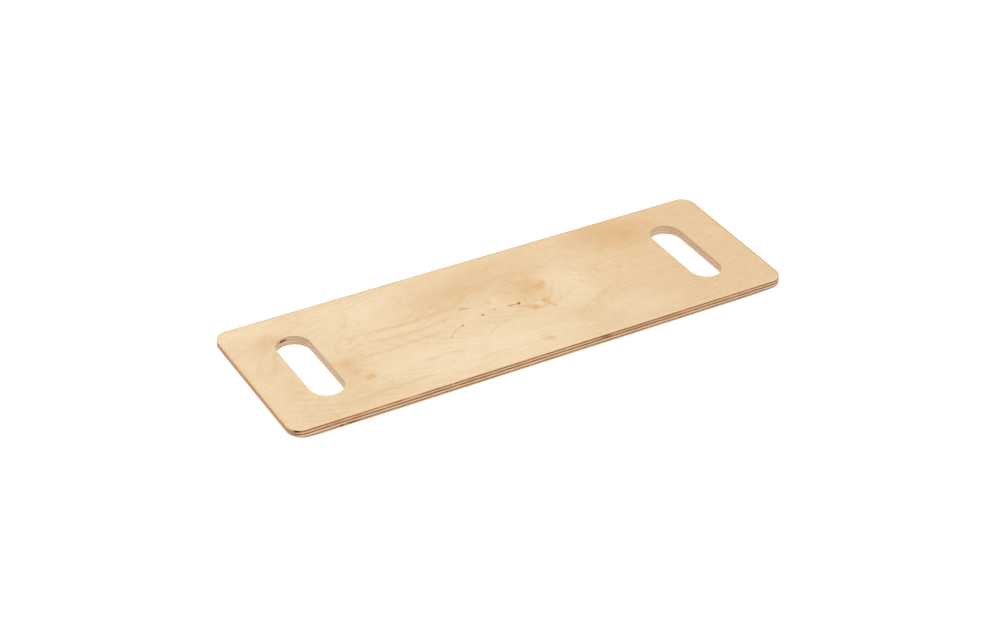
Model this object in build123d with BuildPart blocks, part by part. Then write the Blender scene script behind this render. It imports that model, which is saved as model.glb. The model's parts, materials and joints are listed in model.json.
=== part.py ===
"""A transfer board: a flat seven-ply birch plywood board with a hand hole across each end.

The frame stands on the board's underside. X runs along the board, Y across it and Z up, with the
origin in the middle of the underside. All sizes are in millimetres.
"""

import os

from build123d import *

# Overall size of the board, seen from above.
board_length = 630.0
board_width = 200.0
corner_radius = 16.0

# Hand holes: long round-ended slots that run across the board near its two ends.
hand_hole_length = 118.0
hand_hole_width = 40.0
end_bar_width = 50.0  # wood left between a hand hole and the board's end, which the hand closes on

# Thickness of each kind of layer in the plywood.
top_veneer = 0.7  # the face sheet on top, thinner than the one underneath
bottom_veneer = 1.7  # the face sheet on the underside
inner_veneer = 1.8  # core sheets and crossbands
glue_film = 0.1

# Underside of both short ends, sanded away in a long gentle curve. The run is how far in from the
# end the curve starts, and the rise is how far it has risen at the end.
left_bevel_run = 42.0
left_bevel_rise = 4.5
right_bevel_run = 75.0
right_bevel_rise = 3.1

arris_radius = 0.5  # sanded edges of the two faces

# The butt joint in the upper crossband, and how far along the board it lies.
upper_butt_joint_x = -124.0

# Places that follow from the sizes above.
half_length = board_length / 2
half_width = board_width / 2
hand_hole_x = half_length - end_bar_width - hand_hole_width / 2
hand_hole_end_y = hand_hole_length / 2
cutter_margin = 5.0  # how far a cutting shape runs past what it cuts

# The bevels under the two ends, each with its side of the board, run and rise.
end_bevels = [
    (-1, left_bevel_run, left_bevel_rise),
    (1, right_bevel_run, right_bevel_rise),
]

# Knot holes in the inner sheets that the sawn edges have opened. Each is an oval through one sheet,
# given by its centre and its sizes along X and Y, and its centre lies on or just inside an edge.
halfway_round = 0.5**0.5  # cosine and sine of 45 degrees, the middle of a rounded corner
corner_knot_hole = (
    -half_length + corner_radius * (1 - halfway_round) + 2.2,
    -half_width + corner_radius * (1 - halfway_round) - 1.5,
    5.5,
    3.4,
)
hand_hole_knot_hole = (-hand_hole_x - 5.0, hand_hole_end_y - 0.5, 12.0, 4.0)
small_front_knot_hole = (-half_length + 57.0, -half_width, 4.0, 2.4)
long_front_knot_hole = (-half_length + 69.0, -half_width, 8.0, 1.6)
knot_holes = {
    "upper_crossband_left": [corner_knot_hole],
    "upper_core_veneer": [hand_hole_knot_hole],
    "lower_crossband": [small_front_knot_hole, long_front_knot_hole],
}

# The layers from the underside up, each with its thickness.
layers = [
    ("bottom_face_veneer", bottom_veneer),
    ("glue_line_6", glue_film),
    ("lower_crossband", inner_veneer),
    ("glue_line_5", glue_film),
    ("lower_core_veneer", inner_veneer),
    ("glue_line_4", glue_film),
    ("centre_crossband", inner_veneer),
    ("glue_line_3", glue_film),
    ("upper_core_veneer", inner_veneer),
    ("glue_line_2", glue_film),
    ("upper_crossband", inner_veneer),
    ("glue_line_1", glue_film),
    ("top_face_veneer", top_veneer),
]

# A layer laid as two sheets, with the span along X that each sheet covers.
butt_joined = {
    "upper_crossband": [
        ("upper_crossband_left", -half_length, upper_butt_joint_x),
        ("upper_crossband_right", upper_butt_joint_x, half_length),
    ],
}


def make_sheet(name, base, thickness, start_x, end_x):
    """Make one sheet of the board, from height base up, between start_x and end_x along the board."""
    with BuildPart() as sheet:
        # The board's outline with both hand holes.
        with BuildSketch(Plane.XY.offset(base)):
            RectangleRounded(board_length, board_width, corner_radius)
            with Locations((-hand_hole_x, 0), (hand_hole_x, 0)):
                SlotOverall(hand_hole_length, hand_hole_width, rotation=90, mode=Mode.SUBTRACT)
            for x, y, along, across in knot_holes.get(name, []):
                with Locations((x, y)):
                    Ellipse(along / 2, across / 2, mode=Mode.SUBTRACT)
            with Locations(((start_x + end_x) / 2, 0)):
                Rectangle(end_x - start_x, board_width, mode=Mode.INTERSECT)
        extrude(amount=thickness)

        # The outer edges of the two faces and of the hand holes are eased.
        if name == "top_face_veneer":
            fillet(sheet.faces().sort_by(Axis.Z)[-1].edges(), arris_radius)
        if name == "bottom_face_veneer":
            fillet(sheet.faces().sort_by(Axis.Z)[0].edges(), arris_radius)

        # The curve under each short end leaves the underside smoothly and rises towards the end.
        for side, run, rise in end_bevels:
            if base >= rise:
                continue
            inner_x = side * (half_length - run)
            end_face_x = side * half_length
            outer_x = side * (half_length + cutter_margin)
            with BuildSketch(Plane.XZ):
                with BuildLine():
                    TangentArc((inner_x, 0), (end_face_x, rise), tangent=(side, 0))
                    Polyline(
                        (end_face_x, rise),
                        (outer_x, rise),
                        (outer_x, -cutter_margin),
                        (inner_x, -cutter_margin),
                        (inner_x, 0),
                    )
                make_face()
            extrude(amount=half_width + cutter_margin, both=True, mode=Mode.SUBTRACT)
    sheet.part.label = name
    return sheet.part


def main():
    os.makedirs("parts", exist_ok=True)
    base = 0.0
    for layer, thickness in layers:
        whole_layer = [(layer, -half_length, half_length)]
        for name, start_x, end_x in butt_joined.get(layer, whole_layer):
            sheet = make_sheet(name, base, thickness, start_x, end_x)
            export_step(sheet, f"parts/{name}.step")
        base += thickness


main()
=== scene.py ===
"""Looks of a birch plywood transfer board: its wood, its sawn edges, the studio floor, light and camera.

The board is pressed from seven sheets of birch veneer with a film of adhesive between each two.
Every sheet keeps its CAD shape here, and this script makes how its surfaces look.
Lengths in the wood functions are millimetres on the board, from the middle of its underside.
"""

import json
import math

import bpy
from mathutils import Matrix, Vector


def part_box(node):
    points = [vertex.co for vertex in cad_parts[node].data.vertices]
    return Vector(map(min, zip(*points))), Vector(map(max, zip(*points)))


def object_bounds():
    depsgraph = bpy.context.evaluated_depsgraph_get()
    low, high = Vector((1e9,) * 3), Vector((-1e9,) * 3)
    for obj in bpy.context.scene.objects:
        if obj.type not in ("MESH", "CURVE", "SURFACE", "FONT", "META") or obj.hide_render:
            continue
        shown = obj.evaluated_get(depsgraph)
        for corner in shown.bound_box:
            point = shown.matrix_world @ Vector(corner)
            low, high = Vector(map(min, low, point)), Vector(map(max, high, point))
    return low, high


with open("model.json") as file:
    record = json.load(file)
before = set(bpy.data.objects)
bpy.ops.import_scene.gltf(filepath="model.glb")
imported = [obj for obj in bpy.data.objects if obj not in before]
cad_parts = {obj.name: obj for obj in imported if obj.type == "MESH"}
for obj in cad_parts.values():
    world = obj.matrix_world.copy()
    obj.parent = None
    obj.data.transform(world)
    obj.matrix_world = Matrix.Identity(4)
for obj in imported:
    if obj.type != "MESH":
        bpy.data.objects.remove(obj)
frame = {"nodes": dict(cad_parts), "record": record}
cad_low, cad_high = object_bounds()

MM_PER_METRE = 1000.0

# Places that the wood's pattern is measured from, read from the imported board.
face_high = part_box("top_face_veneer")[1]
half_length = face_high.x * MM_PER_METRE
half_width = face_high.y * MM_PER_METRE
board_top = cad_high.z * MM_PER_METRE
openings = {opening["name"]: opening["box_m"] for opening in frame["record"]["physics"]["openings"]}
hand_hole_x = sum(corner[0] for corner in openings["right_hand_hole"]) / 2 * MM_PER_METRE
butt_joint_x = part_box("upper_crossband_right")[0].x * MM_PER_METRE

# Half sizes of a hand hole, in millimetres.
HAND_HOLE_HALF_LENGTH = 59.0
HAND_HOLE_HALF_WIDTH = 20.0

# Half sizes for a mark that runs right along or right across the board.
ALL_ALONG = 900
ALL_ACROSS = 320

# A noise cell this high doesn't change in the thickness of a sheet.
THROUGH_SHEET = 400


# ---------------------------------------------------------------------------------------------
# Tools for building materials
# ---------------------------------------------------------------------------------------------


def colour(hex_code):
    """Linear RGBA of an sRGB hex colour such as "EBD0A4"."""
    linear = []
    for start in (0, 2, 4):
        value = int(hex_code[start : start + 2], 16) / 255
        linear.append(value / 12.92 if value <= 0.04045 else ((value + 0.055) / 1.055) ** 2.4)
    return (*linear, 1.0)


def add(tree, kind, inputs=None, **settings):
    """Add a shader node with its settings, and give its inputs values, hex colours or links."""
    made = tree.nodes.new("ShaderNode" + kind)
    for name, value in settings.items():
        setattr(made, name, value)
    usable = [socket for socket in made.inputs if socket.enabled]
    for key, value in (inputs or {}).items():
        socket = usable[key] if isinstance(key, int) else next(s for s in usable if s.name == key)
        if isinstance(value, bpy.types.Node):
            value = next(output for output in value.outputs if output.enabled)
        if isinstance(value, bpy.types.NodeSocket):
            tree.links.new(value, socket)
        else:
            socket.default_value = colour(value) if isinstance(value, str) else value
    return made


def new_material(name):
    """An empty material with its shader node, and the position on the board in millimetres."""
    material = bpy.data.materials.new(name)
    material.use_nodes = True
    tree = material.node_tree
    tree.nodes.clear()
    shader = add(tree, "BsdfPrincipled")
    add(tree, "OutputMaterial", {"Surface": shader})
    position = add(tree, "TexCoord").outputs["Object"]
    place = add(tree, "VectorMath", {0: position, 1: (MM_PER_METRE,) * 3}, operation="MULTIPLY")
    return material, tree, shader, place


def grain_noise(tree, place, size, detail=2.0, seed=0.0):
    """Noise from 0 to 1 in cells of a given size along X, Y and Z."""
    scale = [1 / length for length in size]
    scaled = add(tree, "Mapping", {"Vector": place, "Location": (seed, seed, seed), "Scale": scale})
    return add(tree, "TexNoise", {"Vector": scaled, "Scale": 1.0, "Detail": detail})


def drift(tree, place, cell, reach, seed=0.0):
    """The position moved about by up to reach, so that what is drawn there is never quite regular."""
    noise = grain_noise(tree, place, (cell, cell, cell), 2.0, seed)
    centred = add(tree, "VectorMath", {0: noise.outputs["Color"], 1: (0.5,) * 3}, operation="SUBTRACT")
    moved = add(tree, "VectorMath", {0: centred, 1: (2 * reach,) * 3, 2: place}, operation="MULTIPLY_ADD")
    return moved


def spots(tree, place, marks):
    """Soft oval marks added together. Each is centre x, y, half length, half width, turn, strength."""
    total = 0.0
    for x, y, half_long, half_wide, turn, strength in marks:
        inputs = {
            "Vector": place,
            "Location": (x, y, 0),
            "Rotation": (0, 0, math.radians(turn)),
            "Scale": (half_long, half_wide, MM_PER_METRE),
        }
        local = add(tree, "Mapping", inputs, vector_type="TEXTURE")
        oval = add(tree, "TexGradient", {"Vector": local}, gradient_type="SPHERICAL").outputs["Fac"]
        total = add(tree, "Math", {0: oval, 1: strength, 2: total}, operation="MULTIPLY_ADD")
    return total


def strokes(tree, place, marks):
    """Soft curved lines, the strongest winning. Each is its start, end, bulge, half width, strength."""
    total = 0.0
    for start, end, bulge, half_wide, strength in marks:
        run = Vector(end) - Vector(start)
        middle = (Vector(start) + Vector(end)) / 2
        inputs = {
            "Vector": place,
            "Location": (middle.x, middle.y, 0),
            "Rotation": (0, 0, math.atan2(run.y, run.x)),
            "Scale": (run.length / 2, 1, 1),
        }
        local = add(tree, "Mapping", inputs, vector_type="TEXTURE")
        local = add(tree, "SeparateXYZ", {"Vector": local})
        squared = add(tree, "Math", {0: local.outputs["X"], 1: 2.0}, operation="POWER")
        # The line bows as a parabola: it stands bulge off the chord in the middle and 0 at its ends.
        height = add(tree, "Math", {0: squared, 1: bulge, 2: local.outputs["Y"]}, operation="MULTIPLY_ADD")
        gap = add(tree, "Math", {0: height, 1: bulge}, operation="SUBTRACT")
        gap = add(tree, "Math", {0: gap}, operation="ABSOLUTE")
        inputs = {"Value": gap, "From Min": half_wide, "From Max": 0.0, "To Max": strength}
        across = add(tree, "MapRange", inputs, interpolation_type="SMOOTHSTEP")
        inputs = {"Value": squared, "From Min": 1.0, "From Max": 0.3}
        along = add(tree, "MapRange", inputs, interpolation_type="SMOOTHSTEP")
        line = add(tree, "Math", {0: across, 1: along}, operation="MULTIPLY")
        total = add(tree, "Math", {0: line, 1: total}, operation="MAXIMUM")
    return total


# ---------------------------------------------------------------------------------------------
# The figure of the top face
# ---------------------------------------------------------------------------------------------

# Colours of the veneer and of what lies in it.
PALE_WOOD = "F5E0BA"
TAN_WOOD = "DFB57F"
LATE_WOOD = "CF9F66"
GROWTH_LINE_TAN = "DCA560"
STREAK_TAN = "D8A05C"
BLOTCH_ORANGE = "DC9A42"
FLECK_CREAM = "F8EAD2"
KNOT_HALO_BROWN = "BE7A3C"
KNOT_CORE_BROWN = "54290C"

# The largest knot, which the grain bows round.
MAIN_KNOT = (49, 2)

# Broad tan and pale areas in the veneer: x, y, half length, half width, turn in degrees, strength.
TOP_CLOUDS = [
    (-30, 52, 120, 52, 6, 0.75),
    (34, 16, 46, 34, 20, 0.55),
    (185, 72, 80, 40, -12, 0.75),
    (-278, -10, 26, 110, 0, 0.30),
    (-214, -34, 36, 52, -20, 0.55),
    (-270, 56, 24, 18, 35, 0.55),
    (-235, -85, 90, 26, 0, 0.35),
    (80, -60, 50, 22, -35, 0.25),
    (-155, 66, 90, 44, 0, -0.35),
    (-40, -68, 150, 44, 0, -0.45),
    (88, 12, 44, 46, -20, -0.55),
    (70, -28, 52, 20, 5, -0.45),
    (-135, -35, 90, 30, 0, -0.25),
    (140, -74, 70, 34, 0, -0.35),
    (-285, 88, 60, 24, 0, -0.25),
]

# Darker growth lines of the rotary-cut veneer: start, end, bulge, half width, strength.
TOP_GROWTH_LINES = [
    ((-182, 26), (-40, 29), -7.0, 5.6, 0.75),
    ((-180, 9), (-55, 10), -7.0, 4.4, 0.70),
    ((-200, 2), (-172, 9), 1.0, 2.6, 0.70),
    ((-205, -15), (-80, -10), -2.0, 3.4, 0.60),
    ((-60, 25), (105, 38), 20.0, 3.4, 0.50),
    ((-40, 32), (80, 46), 12.0, 3.0, 0.30),
    ((-70, -1), (-12, 0), 2.5, 1.8, 0.40),
    ((-52, -46), (-2, -24), 4.0, 2.6, 0.50),
    ((-68, -36), (-20, -12), 6.0, 1.8, 0.25),
    ((-140, -54), (-82, -52), 1.5, 2.4, 0.60),
    ((-75, -66), (-20, -50), 5.0, 2.0, 0.22),
    ((-250, -84), (-118, -80), 3.0, 3.6, 0.50),
    ((-85, -76), (20, -76), 1.0, 2.4, 0.40),
    ((-150, -92), (-30, -86), 1.0, 2.6, 0.28),
    ((88, 48), (108, 10), 9.0, 3.4, 0.50),
    ((78, 40), (96, 8), 7.0, 1.8, 0.28),
    ((112, 6), (178, 26), 10.0, 2.4, 0.45),
    ((150, 28), (218, 12), 2.0, 2.6, 0.55),
    ((150, 34), (218, 20), 2.0, 1.8, 0.35),
    ((165, 20), (218, 8), 0.0, 1.8, 0.32),
    ((100, 50), (190, 60), -8.0, 2.6, 0.28),
    ((92, -48), (128, -22), 5.0, 5.0, 0.55),
    ((60, -62), (118, -30), 5.0, 3.0, 0.30),
    ((102, -56), (150, -32), 6.0, 2.4, 0.32),
    ((150, -84), (235, -74), 2.0, 2.4, 0.20),
    ((-300, 36), (-282, 38), 1.0, 2.0, 0.35),
]

# Brown streaks that lie across the growth lines, given in the same way.
TOP_STREAKS = [
    ((-184, 44), (-166, 78), -2.0, 7.0, 0.40),
    ((-192, 10), (-182, 26), 1.0, 6.0, 0.55),
    ((-187, -56), (-176, -78), -2.0, 5.0, 0.45),
    ((-170, -88), (-160, -98), 0.0, 3.0, 0.45),
    ((-274, 62), (-262, 72), 0.0, 6.0, 0.50),
    ((-282, 24), (-266, 44), -3.0, 2.6, 0.50),
    ((-292, -36), (-268, -14), 2.0, 3.0, 0.35),
    ((-276, -50), (-288, -76), 1.0, 3.6, 0.35),
    ((-262, -86), (-258, -100), 0.0, 4.0, 0.50),
    ((-272, -66), (-272, -84), 0.0, 2.6, 0.45),
    ((194, 48), (206, 74), 1.0, 4.0, 0.42),
    ((176, 34), (182, 46), 0.0, 2.0, 0.40),
    ((24, 12), (36, 34), -2.0, 4.0, 0.35),
]

# Orange-brown patches round the knots, as ovals.
TOP_BLOTCHES = [
    (54, 16, 13, 8, 30, 1.10),
    (60, 21, 5, 7, 0, 0.75),
    (44, 24, 20, 14, 60, 0.50),
    (36, 10, 20, 10, 40, 0.28),
    (22, -13, 17, 7, -38, 0.80),
    (29, -19, 9, 5, 20, 1.15),
    (38, -22, 12, 4, 10, 0.55),
    (46, -14, 8, 9, -20, 1.10),
    (49, -24, 3.5, 6, 15, 1.10),
    (44, -9, 3, 5, -25, 0.80),
    (53, -8, 6, 2.6, 20, 0.70),
    (60, -17, 8, 2.6, 10, 0.70),
    (72, -12, 14, 3, 25, 0.28),
    (-16, 14, 10, 6, -35, 0.45),
    (-46, 16, 11, 4, -18, 0.65),
    (-34, 42, 22, 6, 30, 0.25),
    (-209, -17, 14, 10, 30, 0.62),
    (-206, -37, 11, 12, 0, 0.48),
    (-197, -49, 11, 8, 20, 1.15),
    (-184, -47, 4, 4, 0, 0.45),
    (-222, -14, 12, 10, 0, 0.30),
    (-258, 58, 12, 9, 60, 0.42),
    (9, -76, 12, 8, -25, 0.70),
    (13, -79, 4, 5, 0, 0.60),
    (70, -67, 12, 5, -35, 0.38),
    (-90, -53, 12, 4, 5, 0.40),
    (200, 60, 16, 10, 50, 0.40),
    (-163, 43, 3.0, 2.6, 0, 0.80),
    (-180, 45, 3, 4, 0, 0.60),
]

# Pin knots and bark pockets, small and dark brown in the middle.
TOP_PIN_KNOTS = [
    (-46, 15.5, 9.5, 1.6, -18, 0.58),
    (-33, -4.5, 2.7, 2.1, 0, 0.92),
    (-16, -1, 3.4, 1.7, 12, 0.52),
    (-63, -12.5, 4.0, 1.7, 24, 0.90),
    (-85, -26, 2.8, 1.6, 50, 0.62),
    (6, -2.8, 9.5, 1.7, -4, 0.72),
    (14.5, -3.5, 4.0, 1.8, 40, 1.24),
    (24, -1.5, 6.0, 1.5, 12, 0.30),
    (30, -20, 3.4, 2.1, 15, 0.26),
    (48.5, -25, 2.4, 3.2, 15, 0.34),
    (55, 12.5, 3.1, 1.9, 20, 0.22),
    (-196, -49.5, 3.4, 2.2, 0, 0.20),
    (-163, 43, 2.2, 1.8, 0, 0.26),
    (128, 14.5, 4.2, 1.6, 12, 0.22),
]

# The hair-thin dark line that joins two of the pin knots.
TOP_BARK_LINES = [((-85, -26), (-63, -12.5), 2.0, 0.9, 0.40)]

# Small pale flecks.
TOP_FLECKS = [
    (158, 0, 3.0, 2.4, 0, 0.7),
    (-7, 14, 9, 6, 25, 0.35),
    (-6, 2, 8, 5, -20, 0.30),
    (36, -14, 7, 6, 0, 0.30),
    (-163, 43, 12, 8, 0, 0.20),
]


# The underside's veneer is a plainer sheet with a few marks of its own.
UNDERSIDE_CLOUDS = [
    (-140, 30, 150, 60, 5, 0.55),
    (90, -40, 160, 50, -4, 0.45),
    (210, 55, 90, 40, 0, -0.40),
    (-30, -70, 130, 36, 3, -0.45),
]
UNDERSIDE_GROWTH_LINES = [
    ((-290, 44), (60, 50), 9.0, 3.6, 0.55),
    ((-270, 20), (120, 22), 12.0, 3.0, 0.50),
    ((-220, -6), (180, -2), 10.0, 3.2, 0.45),
    ((-180, -34), (200, -30), 6.0, 3.0, 0.45),
    ((-60, -62), (270, -58), -5.0, 3.4, 0.40),
    ((40, 70), (290, 62), -6.0, 3.0, 0.40),
]
UNDERSIDE_STREAKS = [((-96, 60), (-84, 84), 2.0, 4.0, 0.45), ((148, -84), (160, -62), -2.0, 3.6, 0.45)]
UNDERSIDE_BLOTCHES = [(-92, 58, 12, 8, 20, 0.8), (152, -58, 10, 7, -15, 0.7), (30, 12, 9, 4, 0, 0.4)]
UNDERSIDE_PIN_KNOTS = [(-92, 58, 4.5, 3.0, 20, 1.3), (30, 12, 5.0, 2.2, 8, 1.0), (152, -58, 4, 3, 0, 0.8)]

# Colours at the sawn edges. Each pair is the pale and the dark of one kind of grain: end grain where
# the cut crosses the grain, and side grain where it runs along it.
WARM_END_GRAIN = ("BE8246", "865226")
DEEP_END_GRAIN = ("AA7244", "704220")
GREY_END_GRAIN = ("BE9268", "8A603A")
WARM_SIDE_GRAIN = ("F5CB9A", "D69E6B")
PALE_SIDE_GRAIN = ("F7DAB6", "DCAE80")
FACE_SIDE_GRAIN = ("E4B684", "BE8C58")
GLUE_BROWN = "7A4E33"
GLUE_DARK = "4A2C1D"
LATHE_CHECK_BROWN = "5C3922"
# Hand-hole walls: partly paler unlacquered wood, partly painted bounce light from the white floor.
HAND_HOLE_BOUNCE_PALE = "EACFB0"
# Painted highlight: a pale cream band along the arris of each face sheet, partly rubbed pale wood.
ARRIS_HIGHLIGHT_CREAM = "FFE8BC"
# Near-black at the knot-hole voids: the dark knot wood, deepened as painted shade in the holes.
KNOT_AND_SHADE_BLACK = "24150E"
RED_BROWN = "6B3A1A"
# Painted shade laid on both end faces of the inner sheets.
END_SHADE_BROWN = "9A6234"
PATCH_TAN = "E0A874"
RIM_ORANGE = "F6B25E"
# Painted shade along the right end and the far long edge of the face sheets.
RIM_SHADE_BROWN = "A07636"
# Painted highlight along the near long edge of the face sheets.
RIM_HIGHLIGHT_CREAM = "FFD7A3"
FILLER_CREAM = "F7E8D6"


def along_near_edge(*marks):
    """Marks on the near long edge of a sheet. Each is its centre x, half length and strength."""
    half_wide = 20
    return [(x, -half_width, half_long, half_wide, 0, strength) for x, half_long, strength in marks]


# Marks that more than one sheet has.
BUTT_JOINT = [(butt_joint_x - 0.4, -half_width, 1.1, 9.0, 0, 1.1)]
RIGHT_HAND_HOLE_FAR_WALL = (hand_hole_x + HAND_HOLE_HALF_WIDTH, 0, 8, 90, 0, 0.26)
# Painted shade: a brown strip darkens both end faces of every inner sheet.
SHADED_ENDS = [(side * half_length, 0, 14, ALL_ACROSS, 0, 0.34) for side in (-1, 1)]

# Narrow strips along the rims of the face sheets: an orange tint at the left end, painted shade at the
# right end with the far long edge, and a painted highlight along the near long edge.
RIM_TINTS_AND_PAINTED_LIGHT = (
    (RIM_ORANGE, [(-half_length, 0, 4.5, ALL_ACROSS, 0, 0.26)]),
    (RIM_SHADE_BROWN, [(half_length, 0, 3.2, ALL_ACROSS, 0, 0.55), (0, half_width, ALL_ALONG, 3.5, 0, 0.28)]),
    (RIM_HIGHLIGHT_CREAM, [(0, -half_width, ALL_ALONG, 3.4, 0, 0.60)]),
)

# What shows at the sawn edges of each inner sheet: the axis its grain runs along, the axis across that, its
# end grain and side grain colours, and then its tints, each with its marks: stains, and near-black at the
# knot holes that is partly painted shade.
INNER_SHEETS = {
    "upper_crossband_left": (
        ("Y", "X", WARM_END_GRAIN, WARM_SIDE_GRAIN),
        # Near-black in the corner void: partly dark knot wood, partly painted shade in the hole.
        (KNOT_AND_SHADE_BLACK, [(-half_length + 6.9, -half_width + 3.2, 5.5, 4.4, 0, 1.7)]),
        (PATCH_TAN, along_near_edge((-172, 16, 1.0), (-216, 22, 0.5))),
        (RED_BROWN, along_near_edge((-286, 14, 0.45), (-148, 12, 0.3))),
        (FILLER_CREAM, BUTT_JOINT),
    ),
    "upper_crossband_right": (
        ("Y", "X", WARM_END_GRAIN, WARM_SIDE_GRAIN),
        (RED_BROWN, along_near_edge((68, 9, 0.9), (40, 30, 0.35))),
        (RED_BROWN, along_near_edge((-4, 8, 0.35), (154, 20, 0.4))),
        (FILLER_CREAM, BUTT_JOINT),
    ),
    "upper_core_veneer": (
        ("X", "Y", WARM_END_GRAIN, WARM_SIDE_GRAIN),
        (RED_BROWN, along_near_edge((70, 11, 0.75), (110, 70, 0.35))),
        (RED_BROWN, along_near_edge((-264, 8, 0.3))),
        (RED_BROWN, [(-hand_hole_x - 5.0, HAND_HOLE_HALF_LENGTH, 9.0, 4.6, 0, 0.26)]),
        (RED_BROWN, [RIGHT_HAND_HOLE_FAR_WALL]),
    ),
    "centre_crossband": (
        ("Y", "X", DEEP_END_GRAIN, WARM_SIDE_GRAIN),
        (RED_BROWN, along_near_edge((-144, 20, 0.6), (-60, 14, 0.5))),
        (RED_BROWN, along_near_edge((38, 12, 0.5), (128, 30, 0.5))),
        (RED_BROWN, along_near_edge((262, 24, 0.4))),
    ),
    "lower_core_veneer": (
        ("X", "Y", GREY_END_GRAIN, PALE_SIDE_GRAIN),
        (RED_BROWN, [*along_near_edge((250, 60, 0.22)), RIGHT_HAND_HOLE_FAR_WALL]),
    ),
    "lower_crossband": (
        ("Y", "X", GREY_END_GRAIN, WARM_SIDE_GRAIN),
        # Near-black in the knot hole: partly dark knot wood, partly painted shade in the hole.
        (KNOT_AND_SHADE_BLACK, [(-half_length + 57, -half_width, 3.6, 4.0, 0, 1.2)]),
        (RED_BROWN, [(-half_length + 69, -half_width, 9.0, 5.0, 0, 1.1)]),
        (RED_BROWN, along_near_edge((-86, 20, 0.35), (6, 24, 0.35))),
        (RED_BROWN, along_near_edge((108, 22, 0.4), (212, 14, 0.35))),
    ),
}


# ---------------------------------------------------------------------------------------------
# Woods
# ---------------------------------------------------------------------------------------------


def grain_round_knot(tree, place, x, y, reach_x, reach_y):
    """The position with Y squeezed near a knot, so that grain drawn along X bows out round it."""
    nearness = spots(tree, place, [(x, y, reach_x, reach_y, 0, 1.0)])
    squeeze = add(tree, "Math", {0: nearness, 1: -0.6, 2: 1.0}, operation="MULTIPLY_ADD")
    parts = add(tree, "SeparateXYZ", {"Vector": place})
    offset = add(tree, "Math", {0: parts.outputs["Y"], 1: y}, operation="SUBTRACT")
    bowed = add(tree, "Math", {0: offset, 1: squeeze, 2: y}, operation="MULTIPLY_ADD")
    return add(tree, "CombineXYZ", {"X": parts.outputs["X"], "Y": bowed, "Z": parts.outputs["Z"]})


def veneer_tone(tree, place, wandering, grain, seed, clouds):
    """Tone from 0, the palest wood, to 1, the tannest, and the finest layer of the grain by itself."""
    # Paler at the left and tanner at the right: partly the veneer's own colour, partly painted light
    # falloff across the board.
    along = add(tree, "SeparateXYZ", {"Vector": place}).outputs["X"]
    inputs = {"Value": along, "From Min": -60, "From Max": 235, "To Min": 0.37, "To Max": 0.67}
    tone = add(tree, "MapRange", inputs, interpolation_type="SMOOTHSTEP")
    tone = add(tree, "Math", {0: spots(tree, wandering, clouds), 1: 0.6, 2: tone}, operation="MULTIPLY_ADD")
    layers = (
        ((95, 34, THROUGH_SHEET), 2.0, 0.30),  # slow drift of colour along the sheet
        ((18, 9, THROUGH_SHEET), 2.0, 0.34),  # clouding
        ((5.5, 3.6, THROUGH_SHEET), 3.0, 0.50),  # mottle
        ((20, 2.2, THROUGH_SHEET), 3.0, 0.30),  # fibres, drawn coarser than life so that they show
    )
    for number, (size, detail, strength) in enumerate(layers):
        noise = grain_noise(tree, grain, size, detail, seed + 7 * number)
        centred = add(tree, "Math", {0: noise, 1: 0.5}, operation="SUBTRACT")
        tone = add(tree, "Math", {0: centred, 1: strength, 2: tone}, operation="MULTIPLY_ADD")
    fibres = noise
    return add(tree, "Clamp", {"Value": tone}), fibres


def late_wood_rings(tree, place, wandering, seed):
    """Faint rings nested round the main knot, stretched along the grain and shown only in patches."""
    ring_gap = 6.0
    ring_centre = {"Vector": wandering, "Location": (*MAIN_KNOT, 0), "Scale": (3.1, 1.0, MM_PER_METRE)}
    rings = add(tree, "Mapping", ring_centre, vector_type="TEXTURE")
    rings = add(tree, "VectorMath", {0: rings}, operation="LENGTH")
    rings = add(tree, "Math", {0: rings, 1: ring_gap}, operation="DIVIDE")
    rings = add(tree, "Math", {0: rings}, operation="FRACT")
    inputs = {"Value": rings, "From Min": 0.30, "From Max": 0.95, "To Max": 0.16}
    rings = add(tree, "MapRange", inputs, interpolation_type="SMOOTHSTEP")
    patches = grain_noise(tree, place, (60, 30, THROUGH_SHEET), 1.0, seed + 31)
    inputs = {"Value": patches, "From Min": 0.40, "From Max": 0.66}
    patches = add(tree, "MapRange", inputs, interpolation_type="SMOOTHSTEP")
    return add(tree, "Math", {0: rings, 1: patches}, operation="MULTIPLY")


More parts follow.
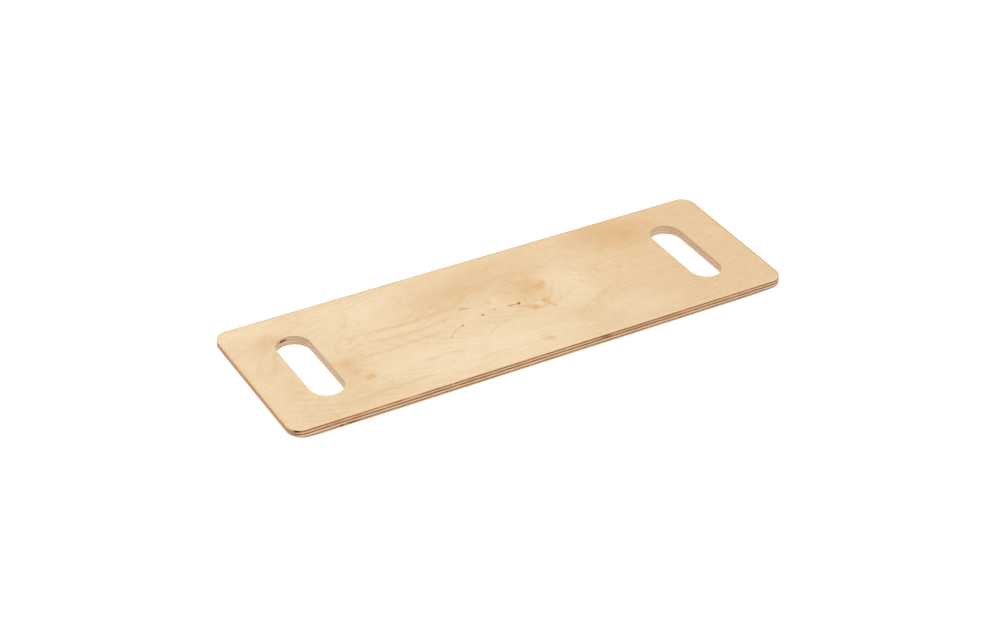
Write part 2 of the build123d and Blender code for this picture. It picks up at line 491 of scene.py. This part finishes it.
def faced_veneer(tree, place, seed, clouds, growth_lines, streaks, blotches, pin_knots, details):
    """Sanded rotary-cut birch seen from above: cream to tan, with growth lines, clouds and knots.

    Returns its colour and how high its grain stands."""
    wandering = drift(tree, place, cell=34, reach=3.2, seed=seed)
    close = drift(tree, place, cell=6, reach=1.2, seed=seed)
    grain = grain_round_knot(tree, close, *MAIN_KNOT, reach_x=150, reach_y=90)
    tone, fibres = veneer_tone(tree, place, wandering, grain, seed, clouds)
    wood = add(tree, "Mix", {"Factor": tone, "A": PALE_WOOD, "B": TAN_WOOD}, data_type="RGBA")
    rings = late_wood_rings(tree, place, wandering, seed)
    wood = add(tree, "Mix", {"Factor": rings, "A": wood, "B": LATE_WOOD}, data_type="RGBA")

    # The marks are broken up by the same mottle as the wood round them.
    broken = grain_noise(tree, close, (5, 3, THROUGH_SHEET), 3.0, seed + 43)
    inputs = {"Value": broken, "From Min": 0.32, "From Max": 0.68, "To Min": 0.45, "To Max": 1.3}
    broken = add(tree, "MapRange", inputs)
    marked = (
        (strokes(tree, wandering, growth_lines), GROWTH_LINE_TAN, 0.52),
        (strokes(tree, close, streaks), STREAK_TAN, 0.42),
        (spots(tree, close, blotches), BLOTCH_ORANGE, 0.64),
    )
    for mask, tint, strength in marked:
        mask = add(tree, "Math", {0: mask, 1: broken}, operation="MULTIPLY")
        mask = add(tree, "Math", {0: mask, 1: strength}, operation="MULTIPLY", use_clamp=True)
        wood = add(tree, "Mix", {"Factor": mask, "A": wood, "B": tint}, data_type="RGBA")

    if details:
        flecks = add(tree, "Clamp", {"Value": spots(tree, close, TOP_FLECKS)})
        wood = add(tree, "Mix", {"Factor": flecks, "A": wood, "B": FLECK_CREAM}, data_type="RGBA")
    knots = spots(tree, close, pin_knots)
    if details:
        knots = add(tree, "Math", {0: knots, 1: strokes(tree, place, TOP_BARK_LINES)}, operation="MAXIMUM")
    inputs = {"Value": knots, "From Min": 0.0, "From Max": 0.6}
    halo = add(tree, "MapRange", inputs, interpolation_type="SMOOTHSTEP")
    wood = add(tree, "Mix", {"Factor": halo, "A": wood, "B": KNOT_HALO_BROWN}, data_type="RGBA")
    inputs = {"Value": knots, "From Min": 0.5, "From Max": 1.1}
    core = add(tree, "MapRange", inputs, interpolation_type="SMOOTHSTEP")
    wood = add(tree, "Mix", {"Factor": core, "A": wood, "B": KNOT_CORE_BROWN}, data_type="RGBA")
    return wood, fibres


def lathe_checks(tree, spot, across, pores, clouds):
    """Fine splits left by the veneer lathe, which lean over as they go through the sheet."""
    check_gap = 2.6
    inputs = {0: spot.outputs["Z"], 1: 0.8, 2: spot.outputs[across]}
    lean = add(tree, "Math", inputs, operation="MULTIPLY_ADD")
    lean = add(tree, "Math", {0: pores, 1: 1.4, 2: lean}, operation="MULTIPLY_ADD")
    lean = add(tree, "Math", {0: lean, 1: check_gap}, operation="DIVIDE")
    lean = add(tree, "Math", {0: lean}, operation="FRACT")
    checks = add(tree, "MapRange", {"Value": lean, "From Min": 0.34, "From Max": 0.0})
    open_here = add(tree, "MapRange", {"Value": clouds, "From Min": 0.40, "From Max": 0.6, "To Max": 0.8})
    return add(tree, "Math", {0: checks, 1: open_here}, operation="MULTIPLY")


def hand_hole_bounce_light(tree, sides, spot):
    """How pale an edge is painted: 0 on the board's outside, and most at the round ends of a hand hole,
    where the paleness is partly unlacquered wood and partly painted bounce light.
    """
    outside_end = 25  # an edge nearer the board's end than this is an outside edge
    outside_side = 20  # and so is one nearer its long side than this
    bounce_lit_inside = add(tree, "Math", {0: sides.outputs["Y"]}, operation="ABSOLUTE")
    bounce_lit_inside = add(tree, "MapRange", {"Value": bounce_lit_inside, "To Min": 0.44, "To Max": 0.66})
    for axis, reach in (("X", half_length - outside_end), ("Y", half_width - outside_side)):
        away = add(tree, "Math", {0: spot.outputs[axis]}, operation="ABSOLUTE")
        within = add(tree, "Math", {0: away, 1: reach}, operation="LESS_THAN")
        bounce_lit_inside = add(tree, "Math", {0: bounce_lit_inside, 1: within}, operation="MULTIPLY")
    return bounce_lit_inside


def sawn_edge(tree, place, normal, grain, across, end_colours, side_colours, seed):
    """The routed and sanded edge of a sheet whose grain runs along the axis named grain.

    Where the cut runs with the grain it is pale and streaked. Where it crosses the grain it is end
    grain: browner, speckled with pores, and split by lathe checks.
    Returns its colour and how high it stands."""
    sides = add(tree, "SeparateXYZ", {"Vector": normal})
    facing = add(tree, "Math", {0: sides.outputs[grain]}, operation="ABSOLUTE")
    inputs = {"Value": facing, "From Min": 0.25, "From Max": 0.9}
    end_share = add(tree, "MapRange", inputs, interpolation_type="SMOOTHSTEP")
    spot = add(tree, "SeparateXYZ", {"Vector": place})

    streaks = grain_noise(tree, place, (46, 46, 0.5), 3.0, seed)
    clouds = grain_noise(tree, place, (13, 13, 2.2), 3.0, seed + 3)
    pores = grain_noise(tree, place, (0.9, 0.9, 0.5), 2.0, seed + 5)

    shade = add(tree, "Math", {0: streaks, 1: clouds}, operation="ADD")
    shade = add(tree, "MapRange", {"Value": shade, "From Min": 0.75, "From Max": 1.25})
    pale, dark = side_colours
    side_grain = add(tree, "Mix", {"Factor": shade, "A": pale, "B": dark}, data_type="RGBA")

    shade = add(tree, "Math", {0: clouds, 1: pores}, operation="ADD")
    shade = add(tree, "MapRange", {"Value": shade, "From Min": 0.72, "From Max": 1.28})
    pale, dark = end_colours
    end_grain = add(tree, "Mix", {"Factor": shade, "A": pale, "B": dark}, data_type="RGBA")
    checks = lathe_checks(tree, spot, across, pores, clouds)
    inputs = {"Factor": checks, "A": end_grain, "B": LATHE_CHECK_BROWN}
    end_grain = add(tree, "Mix", inputs, data_type="RGBA")

    wood = add(tree, "Mix", {"Factor": end_share, "A": side_grain, "B": end_grain}, data_type="RGBA")
    bounce_lit_inside = hand_hole_bounce_light(tree, sides, spot)
    # Hand-hole walls are paled: partly unlacquered wood, partly painted bounce light.
    wood = add(tree, "Mix", {"Factor": bounce_lit_inside, "A": wood, "B": HAND_HOLE_BOUNCE_PALE}, data_type="RGBA")
    height = add(tree, "Math", {0: pores, 1: checks}, operation="SUBTRACT")
    return wood, height


def finish_wood(tree, shader, wood, height, relief, smoothest, roughest):
    """Clear satin lacquer over the wood: a soft broad gloss that the grain's relief breaks up.

    The relief is in millimetres. The roughness goes from roughest where the height is 0 to smoothest
    where it is 1."""
    inputs = {"Height": height, "Strength": 0.35, "Distance": relief / MM_PER_METRE}
    tree.links.new(wood.outputs["Result"], shader.inputs["Base Color"])
    tree.links.new(add(tree, "Bump", inputs).outputs["Normal"], shader.inputs["Normal"])
    gloss = add(tree, "MapRange", {"Value": height, "To Min": roughest, "To Max": smoothest})
    tree.links.new(gloss.outputs["Result"], shader.inputs["Roughness"])
    shader.inputs["IOR"].default_value = 1.5
    shader.inputs["Coat Weight"].default_value = 0.12
    shader.inputs["Coat Roughness"].default_value = 0.35


def tinted_with_stains_and_light(tree, place, wood, stains_and_painted_light):
    """The wood with each tint laid over it where its own list of marks lies."""
    for tint, marks in stains_and_painted_light:
        tint_mask = add(tree, "Clamp", {"Value": spots(tree, place, marks)})
        wood = add(tree, "Mix", {"Factor": tint_mask, "A": wood, "B": tint}, data_type="RGBA")
    return wood


def birch_face_sheet(name, seed, *figure, details=False):
    """A face sheet: figured veneer on its flat side, a brown cut edge and a pale arris band, partly rubbed
    wood and partly a painted highlight.
    """
    arris_height = 0.5
    material, tree, shader, place = new_material(name)
    normal = add(tree, "TexCoord").outputs["Normal"]
    face, face_height = faced_veneer(tree, place, seed, *figure, details)
    edge, edge_height = sawn_edge(tree, place, normal, "X", "Y", WARM_END_GRAIN, FACE_SIDE_GRAIN, seed)
    from_middle = add(tree, "SeparateXYZ", {"Vector": place})
    from_middle = add(tree, "Math", {0: from_middle.outputs["Z"], 1: board_top / 2}, operation="SUBTRACT")
    from_middle = add(tree, "Math", {0: from_middle}, operation="ABSOLUTE")
    # The pale band along the arris is partly rubbed wood and partly a painted highlight all round the
    # sheet.
    arris_start = board_top / 2 - arris_height
    inputs = {"Value": from_middle, "From Min": arris_start, "From Max": arris_start + 0.2}
    rubbed_and_highlit = add(tree, "MapRange", inputs, interpolation_type="SMOOTHSTEP")
    edge = add(tree, "Mix", {"Factor": rubbed_and_highlit, "A": edge, "B": ARRIS_HIGHLIGHT_CREAM}, data_type="RGBA")
    upright = add(tree, "SeparateXYZ", {"Vector": normal})
    upright = add(tree, "Math", {0: upright.outputs["Z"]}, operation="ABSOLUTE")
    flat = add(tree, "MapRange", {"Value": upright, "From Min": 0.2, "From Max": 0.75})
    wood = add(tree, "Mix", {"Factor": flat, "A": edge, "B": face}, data_type="RGBA")
    # Rim strips: an orange tint at the left end, painted shade at the right end and far edge, and a painted
    # highlight at the near edge.
    wood = tinted_with_stains_and_light(tree, place, wood, RIM_TINTS_AND_PAINTED_LIGHT)
    height = add(tree, "Mix", {"Factor": flat, "A": edge_height, "B": face_height})
    finish_wood(tree, shader, wood, height, relief=0.05, smoothest=0.36, roughest=0.50)
    return material


def birch_inner_sheet(name, seed, look, *stains_and_painted_light):
    """A core sheet or crossband, which shows only at the sawn edges and in the bevels underneath."""
    material, tree, shader, place = new_material(name)
    normal = add(tree, "TexCoord").outputs["Normal"]
    wood, height = sawn_edge(tree, place, normal, *look, seed)
    # The ends get painted shade before the sheet's own tints.
    wood = tinted_with_stains_and_light(tree, place, wood, ((END_SHADE_BROWN, SHADED_ENDS), *stains_and_painted_light))
    finish_wood(tree, shader, wood, height, relief=0.08, smoothest=0.48, roughest=0.66)
    return material


def cured_adhesive(name):
    """Phenolic film adhesive at the cut edge: a hair-thin dark brown line, dull and slightly uneven."""
    material, tree, shader, place = new_material(name)
    patches = grain_noise(tree, place, (6, 6, 6), detail=2.0, seed=11)
    glue = add(tree, "Mix", {"Factor": patches, "A": GLUE_BROWN, "B": GLUE_DARK}, data_type="RGBA")
    tree.links.new(glue.outputs["Result"], shader.inputs["Base Color"])
    shader.inputs["Roughness"].default_value = 0.6
    shader.inputs["IOR"].default_value = 1.6
    return material


def dress(node, material):
    """Give a CAD node its material."""
    sheet = frame["nodes"][node]
    sheet.data.materials.clear()
    sheet.data.materials.append(material)


# ---------------------------------------------------------------------------------------------
# The board
# ---------------------------------------------------------------------------------------------

top_figure = (TOP_CLOUDS, TOP_GROWTH_LINES, TOP_STREAKS, TOP_BLOTCHES, TOP_PIN_KNOTS)
underside_figure = (
    UNDERSIDE_CLOUDS,
    UNDERSIDE_GROWTH_LINES,
    UNDERSIDE_STREAKS,
    UNDERSIDE_BLOTCHES,
    UNDERSIDE_PIN_KNOTS,
)

# Every sheet has a seed of its own, so no two share a pattern.
dress("top_face_veneer", birch_face_sheet("lacquered_birch_top_face", 3.0, *top_figure, details=True))
dress("bottom_face_veneer", birch_face_sheet("lacquered_birch_underside", 57.0, *underside_figure))

for number, (node, (look, *stains_and_painted_light)) in enumerate(INNER_SHEETS.items()):
    dress(node, birch_inner_sheet(f"birch_{node}", 20.0 + 9 * number, look, *stains_and_painted_light))

adhesive = cured_adhesive("cured_phenolic_adhesive")
for node in frame["nodes"]:
    if node.startswith("glue_line"):
        dress(node, adhesive)


# ---------------------------------------------------------------------------------------------
# Floor, light and camera
# ---------------------------------------------------------------------------------------------


def studio_floor():
    """A pale matt floor with a glow of its own, which keeps it an even white."""
    bpy.ops.object.select_all(action="DESELECT")
    bpy.ops.mesh.primitive_plane_add(size=120.0, location=(0, 0, cad_low.z))
    floor = bpy.context.object
    floor.name = "studio_floor"
    material, tree, shader, place = new_material("white_paper_sweep")
    shader.inputs["Base Color"].default_value = colour("949494")
    shader.inputs["Roughness"].default_value = 0.9
    shader.inputs["Specular IOR Level"].default_value = 0.0
    shader.inputs["Emission Color"].default_value = colour("FFFFFF")
    shader.inputs["Emission Strength"].default_value = 0.95
    floor.data.materials.append(material)


def studio_light():
    """A white room all round and one large soft box above the far side of the board."""
    world = bpy.data.worlds.new("white_studio")
    bpy.context.scene.world = world
    world.use_nodes = True
    background = world.node_tree.nodes["Background"]
    background.inputs["Color"].default_value = colour("FFFFFF")
    background.inputs["Strength"].default_value = 0.62

    lamp = bpy.data.lights.new("soft_box", "AREA")
    lamp.shape = "RECTANGLE"
    lamp.size = 4.0
    lamp.size_y = 3.0
    lamp.energy = 80.0
    soft_box = bpy.data.objects.new("soft_box", lamp)
    bpy.context.scene.collection.objects.link(soft_box)
    soft_box.location = Vector((0.2, 1.4, 3.6))
    soft_box.rotation_euler = (-soft_box.location).to_track_quat("-Z", "Y").to_euler()
    bpy.context.scene.view_settings.view_transform = "Standard"


def studio_camera():
    """A long lens from the front left, above the board and tilted very slightly."""
    aim = Vector((-0.0208, -0.0220, cad_high.z))
    azimuth = math.radians(-31.865)
    elevation = math.radians(34.640)
    roll = math.radians(2.360)
    distance = 2.4379
    flat = math.cos(elevation)
    back = Vector((math.sin(azimuth) * flat, -math.cos(azimuth) * flat, math.sin(elevation)))
    level = Vector((math.cos(azimuth), math.sin(azimuth), 0))
    upward = back.cross(level)
    right = level * math.cos(roll) + upward * math.sin(roll)
    top = upward * math.cos(roll) - level * math.sin(roll)

    lens = bpy.data.cameras.new("studio_camera")
    lens.lens = 78.89
    lens.sensor_width = 36.0
    camera = bpy.data.objects.new("studio_camera", lens)
    bpy.context.scene.collection.objects.link(camera)
    turned = Matrix((right, top, back)).transposed().to_4x4()
    camera.matrix_world = Matrix.Translation(aim + back * distance) @ turned
    bpy.context.scene.camera = camera


studio_floor()
studio_light()
studio_camera()
